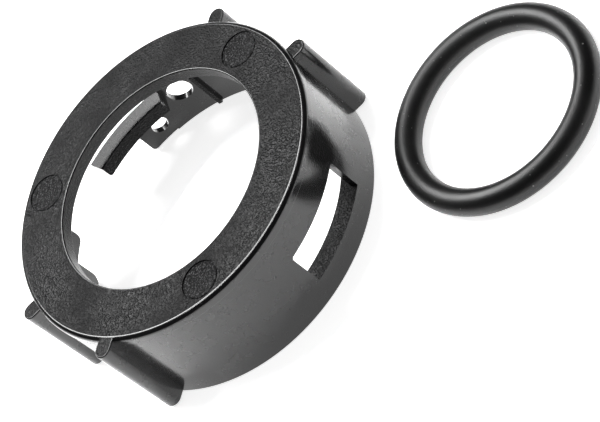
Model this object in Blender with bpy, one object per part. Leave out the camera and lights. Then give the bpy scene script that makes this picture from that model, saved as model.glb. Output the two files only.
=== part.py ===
"""Twist-lock mounting collar and its O-ring, lying side by side on a flat surface at z = 0.

The collar is one injection moulding: a flat annular face on top, a cylindrical wall down to an open rim,
locking ledges inside the wall with windows over them, and grip ribs outside. The O-ring is loose beside it.
Units are metres. The origin is the centre of the set's footprint, +Z up, +X along the collar's rib axis.
"""

import math

import bmesh
import bpy
from mathutils import Matrix, Vector

# Collar shell
FACE_RADIUS = 0.0650
HEIGHT = 0.0430
BORE_RADIUS = 0.0445
WALL_THICKNESS = 0.0028
FACE_THICKNESS = 0.0030
LIP_DEPTH = 0.0055
LIP_THICKNESS = 0.0025
EDGE_ROUND = 0.0018
EDGE_BAND = 0.0040
EDGE_STEP = 0.0003
BORE_ROUND = 0.0005
RIM_ROUND = 0.0004
INNER_FILLET = 0.0010

# Locking ledges and the windows over them; heights are above the rim
LOW_SEAT = 0.0098
HIGH_SEAT = 0.0204
WINDOW_TOP = 0.0264
LEDGE_THICKNESS = 0.0056
LEDGE_REACH = 0.0050
SECOND_REACH = 0.0017
LOW_WINDOW = (-93.0, -59.4)
LOW_LEDGE_END = -53.0
HIGH_LEDGES = ((58.5, 92.8), (118.5, 150.5))
LEDGE_INSET = 0.5
WALL_GAP = (75.3, 127.5)
STEP = 0.0003
WINDOW_ROUND = 0.0012

# Smaller features of the wall and the rim
INNER_FOOT = 0.0006
WIDE_HOLE = {"azimuth": 52.0, "height": 0.0158, "radius": 0.0052}
NARROW_HOLE = {"azimuth": 66.9, "height": 0.0083, "radius": 0.0035}
GUIDE_AZIMUTH = 44.6
GUIDE_WIDTH = 0.0018
GUIDE_REACH = 0.0013
GUIDE_HEIGHT = 0.0195
RIM_RELIEF_LENGTH = 11.5
RIM_RELIEF = 0.0008
POCKET = (-62.0, -44.0)
POCKET_HEIGHT = 0.0040
POCKET_DEPTH = 0.0004

# Grip ribs: two opposite pairs; one of the four runs up flush with the face
RIB_SPREAD = 20.3
RIB_HALF_WIDTH = 0.0034
RIB_REACH = 0.0066
RIB_FOOT = 0.0015
RIB_DROP = 0.0020
RIB_ROUND = 0.0005
FLUSH_RIB = 3
FLUSH_RIB_DROP = 0.0002

# Dished dimples in the face
DIMPLE_AZIMUTHS = (0.0, 115.0, 241.0)
DIMPLE_MARGIN = 0.0029
DIMPLE_DEPTH = 0.0005

# O-ring, and where it lies
RING_RADIUS = 0.0370
RING_SECTION = 0.0050
RING_AZIMUTH = -48.9
RING_GAP = 0.0061

# Facets
TURN_STEPS = 72
SECTOR_STEP = 5.0
ROUND_STEPS = 4
RING_STEPS = 64
RING_SECTION_STEPS = 20

# Derived sizes
WALL_RADIUS = FACE_RADIUS - EDGE_STEP
INNER_RADIUS = WALL_RADIUS - WALL_THICKNESS
MID_WALL = (WALL_RADIUS + INNER_RADIUS) / 2
LEDGE_RADIUS = INNER_RADIUS - LEDGE_REACH
RIB_CENTRE = FACE_RADIUS + RIB_REACH - RIB_HALF_WIDTH
DIMPLE_RADIUS = (FACE_RADIUS - BORE_RADIUS) / 2 - DIMPLE_MARGIN
RING_OUTSIDE = RING_RADIUS + RING_SECTION
OVERSHOOT = 0.0030  # how far a cutter runs past what it cuts
TRIM = 0.0015  # what a cutter takes off the top of a ledge
TRIM_TURN = 1.5  # and off its end, in degrees


def at(radius, azimuth, z=0.0):
    """The point at a radius and an azimuth in degrees round the Z axis."""
    a = math.radians(azimuth)
    return Vector((radius * math.cos(a), radius * math.sin(a), z))


def arc(centre, radius, start, end, steps=ROUND_STEPS):
    """Points (r, z) along an arc in the profile plane, angles in degrees."""
    angles = [math.radians(start + (end - start) * k / steps) for k in range(steps + 1)]
    return [(centre[0] + radius * math.cos(a), centre[1] + radius * math.sin(a)) for a in angles]


def material(name, colour, roughness):
    made = bpy.data.materials.new(name)
    made.use_nodes = True
    shader = made.node_tree.nodes["Principled BSDF"]
    shader.inputs["Base Color"].default_value = (*colour, 1.0)
    shader.inputs["Roughness"].default_value = roughness
    shader.inputs["Metallic"].default_value = 0.0
    return made


def finish_mesh(name, bm):
    """Closes a bmesh into an object in the scene, with its faces pointing out."""
    bmesh.ops.remove_doubles(bm, verts=bm.verts, dist=1e-7)
    bmesh.ops.recalc_face_normals(bm, faces=bm.faces)
    mesh = bpy.data.meshes.new(name)
    bm.to_mesh(mesh)
    bm.free()
    made = bpy.data.objects.new(name, mesh)
    bpy.context.scene.collection.objects.link(made)
    return made


def turned(name, profile, steps):
    """A solid turned from a closed outline of (r, z) points."""
    bm = bmesh.new()
    verts = [bm.verts.new((r, 0.0, z)) for r, z in profile]
    edges = [bm.edges.new((verts[k - 1], verts[k])) for k in range(len(verts))]
    bmesh.ops.spin(
        bm, geom=verts + edges, cent=(0, 0, 0), axis=(0, 0, 1), dvec=(0, 0, 0),
        angle=math.tau, steps=steps, use_merge=True, use_duplicate=False,
    )
    return finish_mesh(name, bm)


def sector(name, radii, azimuths, heights, corner=0.0):
    """A block bent round the Z axis; corner rounds its four radial edges."""
    start, end = azimuths
    outline = [(radii[0], heights[0]), (radii[1], heights[0]), (radii[1], heights[1]), (radii[0], heights[1])]
    bm = bmesh.new()
    verts = [bm.verts.new(at(r, start, z)) for r, z in outline]
    face = bm.faces.new(verts)
    steps = max(2, math.ceil((end - start) / SECTOR_STEP))
    bmesh.ops.spin(
        bm, geom=[face, *face.edges, *verts], cent=(0, 0, 0), axis=(0, 0, 1), dvec=(0, 0, 0),
        angle=math.radians(end - start), steps=steps, use_merge=False, use_duplicate=False,
    )
    if corner:
        ends = [math.radians(a) for a in azimuths]
        radial = []
        for edge in bm.edges:
            a, b = (v.co for v in edge.verts)
            same_azimuth = abs(math.atan2(a.cross(b).z, a.xy.dot(b.xy))) < 1e-4
            at_end = min(abs(math.remainder(math.atan2(a.y, a.x) - e, math.tau)) for e in ends) < 1e-4
            if abs(a.z - b.z) < 1e-7 and same_azimuth and at_end:
                radial.append(edge)
        bmesh.ops.bevel(
            bm, geom=radial, offset=corner, offset_type="OFFSET", segments=ROUND_STEPS,
            profile=0.5, affect="EDGES", material=-1,
        )
    return finish_mesh(name, bm)


def post(name, radius, azimuth, height):
    """A cylinder lying along a radius through the wall, for a round hole."""
    bm = bmesh.new()
    length = WALL_THICKNESS + 2 * OVERSHOOT
    bmesh.ops.create_cone(
        bm, cap_ends=True, segments=24, radius1=radius, radius2=radius, depth=length,
        matrix=Matrix.Rotation(math.radians(azimuth), 4, "Z")
        @ Matrix.Translation((MID_WALL, 0, height))
        @ Matrix.Rotation(math.pi / 2, 4, "Y"),
    )
    return finish_mesh(name, bm)


def rib(name, azimuth, root, low, high):
    """A U-shaped rib: flat sides out to a half-round nose, from a root radius, between two heights."""
    bm = bmesh.new()
    nose = arc((RIB_CENTRE, 0.0), RIB_HALF_WIDTH, -90, 90, steps=10)
    outline = [(root, -RIB_HALF_WIDTH), *nose, (root, RIB_HALF_WIDTH)]
    face = bm.faces.new([bm.verts.new((x, y, low)) for x, y in outline])
    raised = bmesh.ops.extrude_face_region(bm, geom=[face])["geom"]
    bmesh.ops.translate(bm, vec=(0, 0, high - low), verts=[g for g in raised if isinstance(g, bmesh.types.BMVert)])
    ends = [e for e in bm.edges if abs(e.verts[0].co.z - e.verts[1].co.z) < 1e-7]
    bmesh.ops.bevel(
        bm, geom=ends, offset=RIB_ROUND, offset_type="OFFSET", segments=2, profile=0.5,
        affect="EDGES", material=-1,
    )
    bmesh.ops.rotate(bm, verts=bm.verts, matrix=Matrix.Rotation(math.radians(azimuth), 3, "Z"))
    return finish_mesh(name, bm)


def dimple(name, azimuth):
    """A ball that leaves a shallow dish in the face."""
    ball = (DIMPLE_RADIUS**2 + DIMPLE_DEPTH**2) / (2 * DIMPLE_DEPTH)
    centre_z = HEIGHT - DIMPLE_DEPTH + ball
    dish = math.degrees(math.asin(DIMPLE_RADIUS / ball))
    cap = math.radians(2 * dish)
    rings = [(ball * math.sin(cap * k / 8), centre_z - ball * math.cos(cap * k / 8)) for k in range(9)]
    bm = bmesh.new()
    verts = [bm.verts.new((r, 0.0, z)) for r, z in rings]
    top = bm.verts.new((0.0, 0.0, rings[-1][1]))
    chain = [*verts, top]
    edges = [bm.edges.new(pair) for pair in zip(chain, chain[1:])]
    bmesh.ops.spin(
        bm, geom=chain + edges, cent=(0, 0, 0), axis=(0, 0, 1), dvec=(0, 0, 0),
        angle=math.tau, steps=24, use_merge=True, use_duplicate=False,
    )
    bmesh.ops.translate(bm, vec=at((FACE_RADIUS + BORE_RADIUS) / 2, azimuth), verts=bm.verts)
    return finish_mesh(name, bm)


def combine(target, tool, operation):
    """Adds a Boolean modifier to the target and hides the tool."""
    modifier = target.modifiers.new(tool.name, "BOOLEAN")
    modifier.operation = operation
    modifier.solver = "EXACT"
    modifier.object = tool
    tool.hide_render = True
    tool.display_type = "WIRE"


def collar_shell():
    """The turned shell: face, rounded outer edge over a narrow band, wall, rim and the lip round the bore."""
    under_face = HEIGHT - FACE_THICKNESS
    lip_end = HEIGHT - LIP_DEPTH
    band_foot = HEIGHT - EDGE_BAND
    lip_radius = BORE_RADIUS + LIP_THICKNESS
    profile = [
        *arc((WALL_RADIUS - RIM_ROUND, RIM_ROUND), RIM_ROUND, -90, 0, 1),
        (WALL_RADIUS, band_foot),
        (FACE_RADIUS, band_foot + EDGE_STEP),
        *arc((FACE_RADIUS - EDGE_ROUND, HEIGHT - EDGE_ROUND), EDGE_ROUND, 0, 90),
        *arc((BORE_RADIUS + BORE_ROUND, HEIGHT - BORE_ROUND), BORE_ROUND, 90, 180, 2),
        (BORE_RADIUS, lip_end),
        (lip_radius, lip_end),
        (lip_radius, under_face),
        *arc((INNER_RADIUS - INNER_FILLET, under_face - INNER_FILLET), INNER_FILLET, 90, 0, 2),
        *arc((INNER_RADIUS + RIM_ROUND, RIM_ROUND), RIM_ROUND, 180, 270, 1),
    ]
    return turned("collar", profile, TURN_STEPS)


def build_collar():
    """The shell first, then what stands inside its wall, then the cuts, which trim those to length."""
    collar = collar_shell()
    inside = (LEDGE_RADIUS, MID_WALL)
    shallow = (INNER_RADIUS - SECOND_REACH, MID_WALL)
    tail = (LEDGE_RADIUS + STEP, MID_WALL)
    first, second = HIGH_LEDGES
    high = (HIGH_SEAT - LEDGE_THICKNESS, HIGH_SEAT + TRIM)
    low = (LOW_SEAT - LEDGE_THICKNESS, LOW_SEAT + TRIM)
    guide_half = math.degrees(GUIDE_WIDTH / 2 / INNER_RADIUS)
    guide = (GUIDE_AZIMUTH - guide_half, GUIDE_AZIMUTH + guide_half)
    tail_turn = (LOW_WINDOW[1] - TRIM_TURN, LOW_LEDGE_END)
    additions = [
        sector("low_ledge", inside, (LOW_WINDOW[0] + LEDGE_INSET, LOW_WINDOW[1] - LEDGE_INSET), low),
        sector("high_ledge_first", inside, (first[0] + LEDGE_INSET, first[1] + TRIM_TURN), high),
        sector("low_ledge_tail", tail, tail_turn, (low[0] + STEP, LOW_SEAT - STEP)),
        sector("high_ledge_second", shallow, (second[0] - TRIM_TURN, second[1] - LEDGE_INSET), high),
        sector("guide", (INNER_RADIUS - GUIDE_REACH, MID_WALL), guide, (INNER_FOOT, GUIDE_HEIGHT)),
    ]
    for addition in additions:
        combine(collar, addition, "UNION")

    through = (LEDGE_RADIUS - OVERSHOOT, FACE_RADIUS + OVERSHOOT)
    skin = (WALL_RADIUS - POCKET_DEPTH, FACE_RADIUS + OVERSHOOT)
    relief = (WALL_GAP[0] - RIM_RELIEF_LENGTH, WALL_GAP[0] + TRIM_TURN)
    cutters = [
        sector("low_window", through, LOW_WINDOW, (LOW_SEAT, WINDOW_TOP), WINDOW_ROUND),
        sector("high_window", through, (first[0], second[1]), (HIGH_SEAT, WINDOW_TOP), WINDOW_ROUND),
        sector("gap_between_ledges", through, (first[1], second[0]), (-OVERSHOOT, HIGH_SEAT + TRIM)),
        sector("gap_under_ledges", through, WALL_GAP, (-OVERSHOOT, high[0] + STEP)),
        sector("rim_relief", through, relief, (-OVERSHOOT, RIM_RELIEF)),
        sector("rim_pocket", skin, POCKET, (-OVERSHOOT, POCKET_HEIGHT)),
        post("wide_hole", WIDE_HOLE["radius"], WIDE_HOLE["azimuth"], WIDE_HOLE["height"]),
        post("narrow_hole", NARROW_HOLE["radius"], NARROW_HOLE["azimuth"], NARROW_HOLE["height"]),
    ]
    cutters += [dimple(f"dimple_{k}", azimuth) for k, azimuth in enumerate(DIMPLE_AZIMUTHS)]
    for cutter in cutters:
        combine(collar, cutter, "DIFFERENCE")

    for k, azimuth in enumerate((RIB_SPREAD, -RIB_SPREAD, 180 - RIB_SPREAD, 180 + RIB_SPREAD)):
        drop = FLUSH_RIB_DROP if k == FLUSH_RIB else RIB_DROP
        combine(collar, rib(f"rib_{k}", azimuth, MID_WALL, RIB_FOOT, HEIGHT - drop), "UNION")
    return collar


def build_ring():
    section = [
        (RING_RADIUS + x, RING_SECTION + z)
        for x, z in arc((0.0, 0.0), RING_SECTION, 0, 360, RING_SECTION_STEPS)[:-1]
    ]
    return turned("o_ring", section, RING_STEPS)


def footprint_centre(ring_at):
    """The middle of the set's footprint, with the collar's axis at zero."""
    nose = RIB_CENTRE * math.cos(math.radians(RIB_SPREAD)) + RIB_HALF_WIDTH
    x_low = min(-nose, ring_at.x - RING_OUTSIDE)
    x_high = max(nose, ring_at.x + RING_OUTSIDE)
    y_low = min(-FACE_RADIUS, ring_at.y - RING_OUTSIDE)
    y_high = max(FACE_RADIUS, ring_at.y + RING_OUTSIDE)
    return Vector(((x_low + x_high) / 2, (y_low + y_high) / 2, 0.0))


for old in list(bpy.data.objects):
    bpy.data.objects.remove(old)

ring_at = at(FACE_RADIUS + RIB_REACH + RING_GAP + RING_OUTSIDE, RING_AZIMUTH)
centre = footprint_centre(ring_at)
place = bpy.data.objects.new("collar_axis", None)
bpy.context.scene.collection.objects.link(place)
place.location = -centre

collar = build_collar()
for made in [o for o in bpy.data.objects if o.type == "MESH"]:
    made.parent = place
collar.data.materials.append(material("black_plastic", (0.020, 0.020, 0.021), 0.42))

o_ring = build_ring()
o_ring.location = ring_at - centre
o_ring.data.materials.append(material("black_rubber", (0.014, 0.014, 0.015), 0.55))

for made in (collar, o_ring):
    made.data.shade_smooth()
    made.data.set_sharp_from_angle(angle=math.radians(30))
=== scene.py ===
"""Finished surfaces of a twist-lock mounting collar and the loose O-ring beside it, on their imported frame."""

import math

import bmesh
import bpy
from mathutils import Matrix, Quaternion, Vector


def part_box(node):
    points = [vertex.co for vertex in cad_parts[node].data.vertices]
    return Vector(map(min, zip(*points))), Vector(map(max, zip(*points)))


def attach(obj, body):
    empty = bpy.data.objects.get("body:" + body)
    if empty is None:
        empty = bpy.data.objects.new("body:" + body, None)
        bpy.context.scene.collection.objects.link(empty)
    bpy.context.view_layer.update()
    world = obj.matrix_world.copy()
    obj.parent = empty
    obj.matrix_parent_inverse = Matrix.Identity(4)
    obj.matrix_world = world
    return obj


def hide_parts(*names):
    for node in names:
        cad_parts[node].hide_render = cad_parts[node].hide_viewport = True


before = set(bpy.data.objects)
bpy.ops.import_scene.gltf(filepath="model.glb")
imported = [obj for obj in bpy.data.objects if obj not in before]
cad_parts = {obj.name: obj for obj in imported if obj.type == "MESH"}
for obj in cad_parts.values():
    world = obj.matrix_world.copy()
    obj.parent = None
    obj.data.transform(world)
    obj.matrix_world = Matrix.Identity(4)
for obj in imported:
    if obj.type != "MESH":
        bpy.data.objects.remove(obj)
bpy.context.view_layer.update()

# Table and light
# The two pieces lie on a white table with its own faint glow, as a light table has. One large soft box stands
# beyond them and above, with a narrow one over it; the side that the camera looks from is left dark, so the black
# edges stay black.
CAMERA_AZIMUTH = -99.3
CAMERA_ELEVATION = 42.39
CAMERA_ROLL = -52.0
CAMERA_DISTANCE = 1.0579
TABLE_HALF_WIDTH = 4.0
TABLE_DROP = 0.0002

collar_low, collar_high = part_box("collar")
collar_at = Vector(((collar_low.x + collar_high.x) / 2, (collar_low.y + collar_high.y) / 2, 0.0))
collar_height = collar_high.z


def direction(azimuth, elevation):
    """The unit vector that points at an azimuth round Z and an elevation, in degrees."""
    a, e = math.radians(azimuth), math.radians(elevation)
    return Vector((math.cos(a) * math.cos(e), math.sin(a) * math.cos(e), math.sin(e)))


lens = bpy.data.cameras.new("copy_stand")
lens.lens = 180
lens.sensor_width = 36
lens.clip_end = 20
looks_from = direction(CAMERA_AZIMUTH, CAMERA_ELEVATION)
looks_at = collar_at + Vector((0.01384, -0.04986, collar_height / 2))
upright = (-looks_from).to_track_quat("-Z", "Y")
camera = bpy.data.objects.new("copy_stand", lens)
camera.location = looks_at + looks_from * CAMERA_DISTANCE
camera.rotation_mode = "QUATERNION"
camera.rotation_quaternion = upright @ Quaternion((0, 0, 1), math.radians(CAMERA_ROLL))
bpy.context.scene.collection.objects.link(camera)
bpy.context.scene.camera = camera
bpy.context.scene.view_settings.view_transform = "Standard"


def soft_box(name, azimuth, elevation, distance, width, height, power, target):
    """A rectangular area light that faces the target, its width level."""
    data = bpy.data.lights.new(name, "AREA")
    data.shape = "RECTANGLE"
    data.size = width
    data.size_y = height
    data.energy = power
    lamp = bpy.data.objects.new(name, data)
    away = direction(azimuth, elevation)
    lamp.location = target + away * distance
    lamp.rotation_mode = "QUATERNION"
    lamp.rotation_quaternion = away.to_track_quat("Z", "Y")
    bpy.context.scene.collection.objects.link(lamp)
    return lamp


half_way_up = Vector((0, 0, 0.02))
soft_box("soft_box", azimuth=89, elevation=49, distance=0.80, width=0.42, height=0.34, power=7.0, target=half_way_up)
soft_box("strip", azimuth=88, elevation=72, distance=0.95, width=0.60, height=0.05, power=3.4, target=half_way_up)
table_light = soft_box(
    "table_light", azimuth=0, elevation=90, distance=1.6, width=3.0, height=3.0, power=15, target=Vector((0, 0, 0)),
)

sky = bpy.data.worlds.new("studio")
sky.use_nodes = True
bpy.context.scene.world = sky
sky.node_tree.nodes["Background"].inputs["Color"].default_value = (1, 1, 1, 1)
sky.node_tree.nodes["Background"].inputs["Strength"].default_value = 0.04

bm = bmesh.new()
bmesh.ops.create_grid(
    bm, x_segments=1, y_segments=1, size=TABLE_HALF_WIDTH, matrix=Matrix.Translation((0, 0, -TABLE_DROP)),
)
mesh = bpy.data.meshes.new("table")
bm.to_mesh(mesh)
bm.free()
table = bpy.data.objects.new("table", mesh)
bpy.context.scene.collection.objects.link(table)
white = bpy.data.materials.new("white_table")
white.use_nodes = True
laminate = white.node_tree.nodes["Principled BSDF"]
laminate.inputs["Base Color"].default_value = (0.86, 0.86, 0.86, 1)
laminate.inputs["Roughness"].default_value = 0.8
laminate.inputs["Specular IOR Level"].default_value = 0.1
laminate.inputs["Emission Color"].default_value = (1, 1, 1, 1)
laminate.inputs["Emission Strength"].default_value = 0.78
mesh.materials.append(white)
lit = bpy.data.collections.new("lit_from_above")
lit.objects.link(table)
table_light.light_linking.receiver_collection = lit

# Collar
# One injection moulding of black glass-filled nylon, an open shell that twists onto its lugs. Its wall is smooth,
# with faint flow marks and one dull patch that is painted near black as shade; its face, rib heads and seats carry
# the mould's spark-eroded grain, with light speckle painted on it as glints, stronger in the dimples where the grain
# is coarser. Azimuths are in degrees round Z, heights in metres from the table.
FACE_RADIUS = (collar_high.y - collar_low.y) / 2
BORE_RADIUS = 0.0445
WALL_STEP = 0.00035
WALL_THICKNESS = 0.0028
WALL_RADIUS = FACE_RADIUS - WALL_STEP
INNER_RADIUS = WALL_RADIUS - WALL_THICKNESS
MID_WALL = (WALL_RADIUS + INNER_RADIUS) / 2
FACE_THICKNESS = 0.0030
EDGE_BAND = 0.0040
EDGE_ROUND = 0.0018
LIP_DEPTH = 0.0055
LIP_THICKNESS = 0.0025
LIP_ROUND = 0.0003
BORE_ROUND = 0.0005
RIM_ROUND = 0.0004
INNER_FILLET = 0.0010

# A ledge, window, slot, gap, guide or relief runs between two azimuths; a hole has an azimuth, height and radius.
LOW_SEAT = 0.0098
HIGH_SEAT = 0.0204
WINDOW_TOP = 0.0264
LEDGE_THICKNESS = 0.0056
LEDGE_FOOT = HIGH_SEAT - LEDGE_THICKNESS
LEDGE_REACH = 0.0050
SECOND_LEDGE_REACH = 0.0017
LEDGE_RADIUS = INNER_RADIUS - LEDGE_REACH
SECOND_LEDGE_RADIUS = INNER_RADIUS - SECOND_LEDGE_REACH
LOW_LEDGE = (-93.0, -53.0)
LOW_WINDOW = (-93.2, -59.2)
FIRST_LEDGE = (58.5, 94.3)
SECOND_LEDGE = (117.0, 150.5)
LEDGE_ENDS = (92.8, 118.5)
HIGH_SLOT = (58.3, 150.7)
WALL_GAP = (75.3, 127.5)
GUIDE = (43.8, 45.4)
GUIDE_REACH = 0.0013
GUIDE_RADIUS = INNER_RADIUS - GUIDE_REACH
GUIDE_HEIGHTS = (0.0003, 0.0195)
RELIEF = (63.8, 76.5)
RIM_RELIEF = 0.0008
WIDE_HOLE = (52.0, 0.0158, 0.0052)
NARROW_HOLE = (66.9, 0.0083, 0.0035)

RIB_AZIMUTHS = (20.3, -20.3, 159.7)
FLUSH_RIB_AZIMUTH = 200.3
RIB_HALF_WIDTH = 0.0034
RIB_NOSE = FACE_RADIUS + 0.0032
RIB_ROOT = FACE_RADIUS - 0.0020
RIB_FOOT = 0.0015
RIB_ROUND = 0.0005
RIB_DROP = 0.0021

DIMPLE_AZIMUTHS = (0, 115, 241)
DIMPLE_RING = (FACE_RADIUS + BORE_RADIUS) / 2
DIMPLE_RADIUS = 0.0070
DIMPLE_EDGE = 0.00015
DIMPLE_BOWL = 0.00060

SEAM = -105.0
EASE = 0.00025
OVER = 0.003
TURN_STEP = 1.5
TURN_OFFSET = 0.13

# The patch on the wall is painted shade: a near-black matte colour mixed in at this share, where the wall shows a
# dark reflection.
PATCH_AZIMUTH = -57
PATCH_HEIGHT = 0.033
PAINTED_SHADE_SHARE = 0.85
GRAIN_DEPTH = 0.00030
BLACK = (0.005, 0.005, 0.0053, 1)
# Grey of the real dust specks and of the glints painted on the grain.
DUST_AND_GLINT_GREY = (0.42, 0.42, 0.43, 1)
PAINTED_SHADE_BLACK = (0.006, 0.006, 0.006, 1)


class Wire:
    """One output of a shader tree; arithmetic on wires adds Math nodes."""

    def __init__(self, finish, socket):
        self.finish = finish
        self.socket = socket

    def math(self, operation, a, b):
        return self.finish.node("ShaderNodeMath", {"operation": operation}, {0: a, 1: b})

    def __add__(self, other):
        return self.math("ADD", self, other)

    def __radd__(self, other):
        return self.math("ADD", other, self)

    def __sub__(self, other):
        return self.math("SUBTRACT", self, other)

    def __rsub__(self, other):
        return self.math("SUBTRACT", other, self)

    def __mul__(self, other):
        return self.math("MULTIPLY", self, other)

    def __rmul__(self, other):
        return self.math("MULTIPLY", other, self)


class Finish:
    """A material as it is wired up."""

    def __init__(self, name):
        self.material = bpy.data.materials.new(name)
        self.material.use_nodes = True
        self.tree = self.material.node_tree
        self.shader = self.tree.nodes["Principled BSDF"]

    def feed(self, socket, value):
        if isinstance(value, Wire):
            self.tree.links.new(value.socket, socket)
        else:
            socket.default_value = value

    def node(self, kind, settings=None, inputs=None, output=0):
        made = self.tree.nodes.new(kind)
        for key, value in (settings or {}).items():
            setattr(made, key, value)
        for key, value in (inputs or {}).items():
            self.feed(made.inputs[key], value)
        return Wire(self, made.outputs[output])

    def surface(self, **inputs):
        for key, value in inputs.items():
            self.feed(self.shader.inputs[key.replace("_", " ")], value)

    def mix(self, share, first, second):
        """The first colour, with a share of the second in it."""
        return self.node("ShaderNodeMix", {"data_type": "RGBA"}, {0: share, 6: first, 7: second}, 2)

    def bump(self, height, distance):
        values = {"Strength": 1.0, "Distance": distance, "Height": height}
        return self.node("ShaderNodeBump", inputs=values, output="Normal")

    def noise(self, place, scale, detail=2.0, roughness=0.5):
        values = {"Vector": place, "Scale": scale, "Detail": detail, "Roughness": roughness}
        return self.node("ShaderNodeTexNoise", inputs=values)

    def band(self, wire, low, high):
        """0 below low, 1 above high, smooth between."""
        values = {"Value": wire, "From Min": low, "From Max": high}
        return self.node("ShaderNodeMapRange", {"interpolation_type": "SMOOTHSTEP"}, values)


def specks(finish, place, scale, size):
    """A few small round spots, one in some of the cells of a grid with this scale."""
    cells = {"Vector": place, "Scale": scale}
    spot = finish.node("ShaderNodeTexVoronoi", inputs=cells, output="Distance")
    pick = finish.node("ShaderNodeTexVoronoi", inputs=cells, output="Color")
    chosen = finish.node("ShaderNodeSeparateColor", inputs={0: pick})
    return (1 - finish.band(spot, size * 0.5, size)) * finish.band(chosen, 0.93, 0.95)


nylon = Finish("black_nylon")
place = nylon.node("ShaderNodeTexCoord", output="Object")
# Two values on the mesh, grain and coarse, say which finish is where.
grained = nylon.node("ShaderNodeAttribute", {"attribute_name": "grain"}, output="Fac")
coarse = nylon.node("ShaderNodeAttribute", {"attribute_name": "coarse"}, output="Fac")

patch_at = collar_at + direction(PATCH_AZIMUTH, 0) * FACE_RADIUS + Vector((0, 0, PATCH_HEIGHT))
from_patch = nylon.node("ShaderNodeVectorMath", {"operation": "DISTANCE"}, {0: place, 1: patch_at}, 1)
# The patch is made rough and grained, and is painted shade: near-black matte stands in for the dark reflection on
# the wall there.
painted_shade_patch = 1 - nylon.band(from_patch + 0.010 * nylon.noise(place, 160, 5, 0.75), 0.010, 0.017)
rough = grained.math("MAXIMUM", grained, painted_shade_patch)

pebble_cells = nylon.node("ShaderNodeTexVoronoi", {"feature": "SMOOTH_F1"}, {"Vector": place, "Scale": 1550})
pebbles = 1.2 * pebble_cells + 0.2 * nylon.noise(place, 2600, 2, 0.6)
lumps = nylon.noise(place, 900, 3, 0.65)
flow = nylon.noise(place, 160, 3)
relief = rough * (pebbles * (1 - coarse) + 3.2 * coarse * lumps) + 0.006 * flow
smears = nylon.band(nylon.noise(place, 34, 4, 0.6), 0.42, 0.62)
patches = nylon.band(nylon.noise(place, 24, 3, 0.6), 0.38, 0.64)
dust = specks(nylon, place, 260, 0.16)
wall_gloss = 0.24 + 0.06 * flow
face_gloss = 0.28 + 0.12 * smears + 0.20 * patches
# Light grey speckle on the grain is painted glint, made stronger in the dimples as painted highlight; the dust
# specks are real dust.
painted_glint_speckle = nylon.band(nylon.noise(place, 1700, 1, 0.5), 0.50, 0.70)
cloud = nylon.band(nylon.noise(place, 30, 3, 0.6), 0.35, 0.65)
dust_and_painted_glint = 0.3 * dust + painted_glint_speckle * (0.015 + 0.07 * cloud + 0.20 * coarse)
nylon.surface(
    Base_Color=nylon.mix(rough * dust_and_painted_glint, BLACK, DUST_AND_GLINT_GREY),
    Roughness=wall_gloss * (1 - rough) + face_gloss * rough,
    IOR=1.25,
    Coat_Weight=0.75 * (1 - rough),
    Coat_Roughness=0.14,
    Coat_IOR=1.62,
    Normal=nylon.bump(relief, GRAIN_DEPTH),
)

# Near-black matte mixed into the patch on the wall: painted shade.
painted_shade_matte = nylon.tree.nodes.new("ShaderNodeBsdfDiffuse")
painted_shade_matte.inputs["Color"].default_value = PAINTED_SHADE_BLACK
blend = nylon.tree.nodes.new("ShaderNodeMixShader")
nylon.feed(blend.inputs[0], PAINTED_SHADE_SHARE * painted_shade_patch)
nylon.tree.links.new(nylon.shader.outputs[0], blend.inputs[1])
nylon.tree.links.new(painted_shade_matte.outputs[0], blend.inputs[2])
nylon.tree.links.new(blend.outputs[0], nylon.tree.nodes["Material Output"].inputs["Surface"])


# The mesh is laid out flat first: a strip whose x runs round the wall, whose y is the radius and whose z is the
# height. Windows, ledges and ribs are worked on the strip, its edges are eased, and it is rolled up closed.
def along(azimuth):
    """Where an azimuth, in degrees, falls along the strip."""
    return math.radians(azimuth) * MID_WALL


def arc(centre, radius, start, end, steps):
    """Points (radius, height) on an arc, angles in degrees."""
    angles = [math.radians(start + (end - start) * k / steps) for k in range(steps + 1)]
    return [(centre[0] + radius * math.cos(a), centre[1] + radius * math.sin(a)) for a in angles]


def outward(bm):
    """Turns every face of a closed shape to point out."""
    bmesh.ops.recalc_face_normals(bm, faces=bm.faces)
    if bm.calc_volume(signed=True) < 0:
        bmesh.ops.reverse_faces(bm, faces=bm.faces)
    return bm


def pulled_out(corners, move):
    """A closed shape: the flat face with these corners, pulled out by a move."""
    bm = bmesh.new()
    face = bm.faces.new([bm.verts.new(corner) for corner in corners])
    pulled = bmesh.ops.extrude_face_region(bm, geom=[face])["geom"]
    moved = [g for g in pulled if isinstance(g, bmesh.types.BMVert)]
    bmesh.ops.translate(bm, verts=moved, vec=move)
    return bm


def drawn(outline, start, end):
    """An outline of (radius, height) points drawn out along the strip between two azimuths."""
    return outward(pulled_out([(along(start), r, z) for r, z in outline], (along(end) - along(start), 0, 0)))


def block(start, end, inner, outer, low, high):
    """A plain block of the strip, between two azimuths, radii and heights."""
    return drawn([(inner, low), (outer, low), (outer, high), (inner, high)], start, end)


def cut(outline):
    """A cutter right through the wall, from an outline of (distance along the strip, height) points."""
    first, last = LEDGE_RADIUS - OVER, FACE_RADIUS + OVER
    return outward(pulled_out([(x, first, z) for x, z in outline], (0, last - first, 0)))


def slot(start, end, low, first_corner, last_corner):
    """The outline of a slot between two azimuths up to the window top, its two upper corners rounded."""
    x_low, x_high = along(start), along(end)
    return [
        (x_low, low), (x_high, low),
        *arc((x_high - last_corner, WINDOW_TOP - last_corner), last_corner, 0, 90, 6),
        *arc((x_low + first_corner, WINDOW_TOP - first_corner), first_corner, 90, 180, 6),
    ]


def unrolled(bm, azimuth):
    """Takes a shape made in place, on the +X side of the axis, into the strip at an azimuth."""
    for vert in bm.verts:
        x, y, z = vert.co
        vert.co = (math.atan2(y, x) * MID_WALL + along(azimuth), math.hypot(x, y), z)
    return outward(bm)


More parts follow.
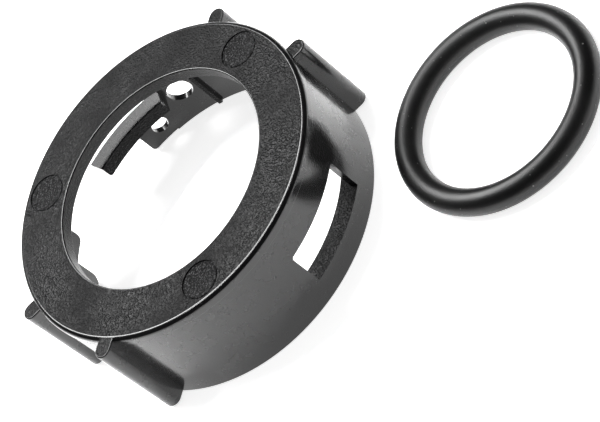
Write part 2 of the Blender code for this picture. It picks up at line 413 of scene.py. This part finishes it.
def rib(top):
    """A grip rib: flat sides out to a half-round nose, its ends eased, standing on the wall."""
    nose = arc((RIB_NOSE, 0.0), RIB_HALF_WIDTH, -90, 90, 24)
    outline = [(RIB_ROOT, -RIB_HALF_WIDTH), *nose, (RIB_ROOT, RIB_HALF_WIDTH)]
    bm = pulled_out([(x, y, RIB_FOOT) for x, y in outline], (0, 0, top - RIB_FOOT))
    ends = [e for e in bm.edges if abs(e.verts[0].co.z - e.verts[1].co.z) < 1e-6]
    bmesh.ops.bevel(
        bm, geom=ends, offset=RIB_ROUND, segments=4, profile=0.5, affect="EDGES", material=-1, clamp_overlap=True,
    )
    return bm


def dish():
    """A shallow dish with a narrow groove round it, to be sunk in the face at the dimples' radius."""
    groove = [
        (DIMPLE_RADIUS + 0.00090, 0.0006), (DIMPLE_RADIUS + 0.00055, -0.00050), (DIMPLE_RADIUS + 0.00025, -0.00055),
    ]
    shares = [k / 6 for k in range(6)]
    bowl = [(DIMPLE_RADIUS * (1 - s), -DIMPLE_EDGE - DIMPLE_BOWL * (1 - (1 - s) ** 2)) for s in shares]
    bm = bmesh.new()
    verts = [bm.verts.new((0.0, 0.0, 0.0006))]
    verts += [bm.verts.new((r, 0.0, z)) for r, z in [*groove, *bowl]]
    verts.append(bm.verts.new((0.0, 0.0, -DIMPLE_EDGE - DIMPLE_BOWL)))
    edges = [bm.edges.new(pair) for pair in zip(verts, verts[1:])]
    bmesh.ops.spin(
        bm, geom=verts + edges, cent=(0, 0, 0), axis=(0, 0, 1), dvec=(0, 0, 0), angle=math.tau, steps=96,
        use_merge=True, use_duplicate=False,
    )
    bmesh.ops.remove_doubles(bm, verts=bm.verts, dist=1e-7)
    bmesh.ops.translate(bm, verts=bm.verts, vec=(DIMPLE_RING, 0, collar_height))
    return bm


def bore_hole(azimuth, height, radius):
    """A round cutter that lies along a radius through the wall."""
    bm = bmesh.new()
    lie = Matrix.Translation((along(azimuth), MID_WALL, height)) @ Matrix.Rotation(math.pi / 2, 4, "X")
    bmesh.ops.create_cone(bm, cap_ends=True, segments=64, radius1=radius, radius2=radius, depth=0.012, matrix=lie)
    return bm


def as_object(name, bm):
    mesh = bpy.data.meshes.new(name)
    bm.to_mesh(mesh)
    bm.free()
    made = bpy.data.objects.new(name, mesh)
    bpy.context.scene.collection.objects.link(made)
    return made


def worked(body, steps):
    """The body after each (operation, cutter) has been joined to it or cut from it, as a new bmesh."""
    tools = []
    for operation, bm in steps:
        tool = as_object("tool", bm)
        tools.append(tool)
        modifier = body.modifiers.new("work", "BOOLEAN")
        modifier.operation = operation
        modifier.solver = "EXACT"
        modifier.object = tool
    done = body.evaluated_get(bpy.context.evaluated_depsgraph_get())
    result = bmesh.new()
    result.from_mesh(done.to_mesh())
    for piece in [*tools, body]:
        bpy.data.objects.remove(piece)
    return result


lip_low = collar_height - LIP_DEPTH + LIP_ROUND
fillet_at = (INNER_RADIUS - INNER_FILLET, collar_height - FACE_THICKNESS - INNER_FILLET)
section = [
    *arc((WALL_RADIUS - RIM_ROUND, RIM_ROUND), RIM_ROUND, -90, 0, 4),
    (WALL_RADIUS, collar_height - EDGE_BAND - LIP_ROUND),
    *arc((FACE_RADIUS - LIP_ROUND, collar_height - EDGE_BAND), LIP_ROUND, -30, 0, 2),
    *arc((FACE_RADIUS - EDGE_ROUND, collar_height - EDGE_ROUND), EDGE_ROUND, 0, 90, 10),
    *arc((BORE_RADIUS + BORE_ROUND, collar_height - BORE_ROUND), BORE_ROUND, 90, 180, 5),
    *arc((BORE_RADIUS + LIP_ROUND, lip_low), LIP_ROUND, 180, 270, 3),
    *arc((BORE_RADIUS + LIP_THICKNESS - LIP_ROUND, lip_low), LIP_ROUND, 270, 360, 3),
    (BORE_RADIUS + LIP_THICKNESS, collar_height - FACE_THICKNESS),
    *arc(fillet_at, INNER_FILLET, 90, 0, 5),
    *arc((INNER_RADIUS + RIM_ROUND, RIM_ROUND), RIM_ROUND, 180, 270, 4),
]
through = (LEDGE_RADIUS - OVER, FACE_RADIUS + OVER)
low_heights = (LOW_SEAT - LEDGE_THICKNESS, LOW_SEAT - 0.00002)
high_heights = (LEDGE_FOOT, HIGH_SEAT + 0.0004)
ledge_end, next_ledge = (along(azimuth) for azimuth in LEDGE_ENDS)
gap_start, gap_end = (along(azimuth) for azimuth in WALL_GAP)
gap = [
    (gap_start - 0.0020, -OVER),
    *arc((gap_start - 0.0020, RIM_RELIEF + 0.0020), 0.0020, -90, 0, 8),
    (gap_start, LEDGE_FOOT),
    *arc((ledge_end - 0.0015, LEDGE_FOOT + 0.0015), 0.0015, -90, 0, 8),
    (ledge_end, HIGH_SEAT + OVER),
    (next_ledge, HIGH_SEAT + OVER),
    *arc((next_ledge + 0.0025, LEDGE_FOOT + 0.0025), 0.0025, 180, 270, 8),
    (gap_end, LEDGE_FOOT),
    *arc((gap_end + 0.0040, 0.0040), 0.0040, 180, 270, 8),
    (gap_end + 0.0040, -OVER),
]
strip = as_object("strip", drawn(section, SEAM, SEAM + 360))
steps = [
    ("UNION", block(*LOW_LEDGE, LEDGE_RADIUS, MID_WALL, *low_heights)),
    ("UNION", block(*FIRST_LEDGE, LEDGE_RADIUS, MID_WALL, *high_heights)),
    ("UNION", block(*SECOND_LEDGE, SECOND_LEDGE_RADIUS, MID_WALL, *high_heights)),
    ("UNION", block(*GUIDE, GUIDE_RADIUS, MID_WALL, *GUIDE_HEIGHTS)),
    ("DIFFERENCE", cut(slot(*LOW_WINDOW, LOW_SEAT, first_corner=0.0012, last_corner=0.0004))),
    ("DIFFERENCE", cut(slot(*HIGH_SLOT, HIGH_SEAT, first_corner=0.0006, last_corner=0.0006))),
    ("DIFFERENCE", cut(gap)),
    ("DIFFERENCE", block(*RELIEF, *through, -OVER, RIM_RELIEF)),
    ("DIFFERENCE", bore_hole(*WIDE_HOLE)),
    ("DIFFERENCE", bore_hole(*NARROW_HOLE)),
]
steps += [("DIFFERENCE", unrolled(dish(), azimuth)) for azimuth in DIMPLE_AZIMUTHS]
steps += [("UNION", unrolled(rib(collar_height - RIB_DROP), azimuth)) for azimuth in RIB_AZIMUTHS]
steps.append(("UNION", unrolled(rib(collar_height), FLUSH_RIB_AZIMUTH)))
bm = worked(strip, steps)
ends = (along(SEAM), along(SEAM + 360))
eased = [
    e for e in bm.edges
    if len(e.link_faces) == 2
    and e.calc_face_angle() > math.radians(35)
    and all(0.0003 < v.co.z < collar_height - 0.0065 for v in e.verts)
    and not all(min(abs(v.co.x - x) for x in ends) < 1e-5 for v in e.verts)
]
bmesh.ops.bevel(
    bm, geom=eased, offset=EASE, segments=2, profile=0.5, affect="EDGES", material=-1, clamp_overlap=True,
)

for k in range(1, round(360 / TURN_STEP)):
    bmesh.ops.bisect_plane(
        bm, geom=[*bm.verts, *bm.edges, *bm.faces], dist=1e-7,
        plane_co=(along(SEAM + k * TURN_STEP + TURN_OFFSET), 0, 0), plane_no=(1, 0, 0),
    )
caps = [f for f in bm.faces if all(min(abs(v.co.x - x) for x in ends) < 1e-5 for v in f.verts)]
bmesh.ops.delete(bm, geom=caps, context="FACES_ONLY")
for vert in bm.verts:
    turn, radius = vert.co.x / MID_WALL, vert.co.y
    vert.co = (collar_at.x + radius * math.cos(turn), collar_at.y + radius * math.sin(turn), vert.co.z)
bmesh.ops.remove_doubles(bm, verts=bm.verts, dist=2e-6)
outward(bm)

grain = bm.loops.layers.float.new("grain")
coarse_grain = bm.loops.layers.float.new("coarse")
dimples_at = [collar_at + direction(azimuth, 0) * DIMPLE_RING for azimuth in DIMPLE_AZIMUTHS]
for face in bm.faces:
    middle = face.calc_center_median()
    reach = (middle - collar_at).xy.length
    level = face.normal.z > 0.998
    flat = level and (middle.z > collar_height - 5e-5 or reach > FACE_RADIUS + 1e-4)
    edge = face.normal.z > 0.5 and middle.z > collar_height - EDGE_ROUND
    low_seat = abs(middle.z - LOW_SEAT) < 1e-4 and reach < WALL_RADIUS
    seat_side = reach < LEDGE_RADIUS + 1e-4 and middle.z < HIGH_SEAT
    lip = reach < BORE_RADIUS + 0.0001 and middle.z < collar_height - 0.0004
    sunk = edge and min((middle - dimple).xy.length for dimple in dimples_at) < 0.0075
    if flat or sunk or low_seat or seat_side:
        share = 1.0
    elif lip:
        share = 0.7
    else:
        share = 0.08 if edge else 0.0
    for loop in face.loops:
        loop[grain] = share
        loop[coarse_grain] = 1.0 if sunk else 0.0

collar = as_object("collar_moulding", bm)
collar.data.materials.append(nylon.material)
collar.data.shade_smooth()
collar.data.set_sharp_from_angle(angle=math.radians(32))
normals = collar.modifiers.new("even_flats", "WEIGHTED_NORMAL")
normals.keep_sharp = True
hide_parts("collar")
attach(collar, "collar_body")

# O-ring
# One turn of soft nitrile rubber cord, moulded whole. It is smooth with a dull sheen, dusted with lint, and has the
# thread of a mould line round its inside and outside.
MOULD_LINE = 0.00006
LINT = (0.30, 0.30, 0.29, 1)
ring_low, ring_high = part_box("o_ring")
ring_section = ring_high.z / 2
ring_radius = (ring_high.x - ring_low.x) / 2 - ring_section

rubber = Finish("black_nitrile")
place = rubber.node("ShaderNodeTexCoord", output="Object")
film = rubber.noise(place, 60, 4, 0.6)
wipe = rubber.band(rubber.noise(place, 22, 3), 0.45, 0.65)
fine = rubber.noise(place, 2400, 3, 0.6)
bloom = rubber.noise(place, 420, 4, 0.7)
lint = specks(rubber, place, 420, 0.17) + specks(rubber, place, 900, 0.20)
rubber.surface(
    Base_Color=rubber.mix(lint * 0.7 + 0.05 * wipe * bloom, (0.007, 0.007, 0.0073, 1), LINT),
    Roughness=0.26 + 0.12 * film + 0.10 * wipe,
    IOR=1.46,
    Normal=rubber.bump(fine + 0.8 * bloom + 1.5 * lint, 0.00006),
)

bm = bmesh.new()
bmesh.ops.create_circle(
    bm, segments=72, radius=ring_section,
    matrix=Matrix.Translation((ring_radius, 0, ring_section)) @ Matrix.Rotation(math.pi / 2, 4, "X"),
)
for vert in bm.verts:
    if abs(vert.co.z - ring_section) < 1e-6:
        vert.co.x += math.copysign(MOULD_LINE, vert.co.x - ring_radius)
bmesh.ops.spin(
    bm, geom=[*bm.verts, *bm.edges], cent=(0, 0, 0), axis=(0, 0, 1), dvec=(0, 0, 0), angle=math.tau, steps=288,
    use_merge=True, use_duplicate=False,
)
bmesh.ops.translate(bm, verts=bm.verts, vec=((ring_low.x + ring_high.x) / 2, (ring_low.y + ring_high.y) / 2, 0))
bmesh.ops.remove_doubles(bm, verts=bm.verts, dist=1e-7)
outward(bm)
o_ring = as_object("o_ring_cord", bm)
o_ring.data.materials.append(rubber.material)
o_ring.data.shade_smooth()
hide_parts("o_ring")
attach(o_ring, "o_ring_body")
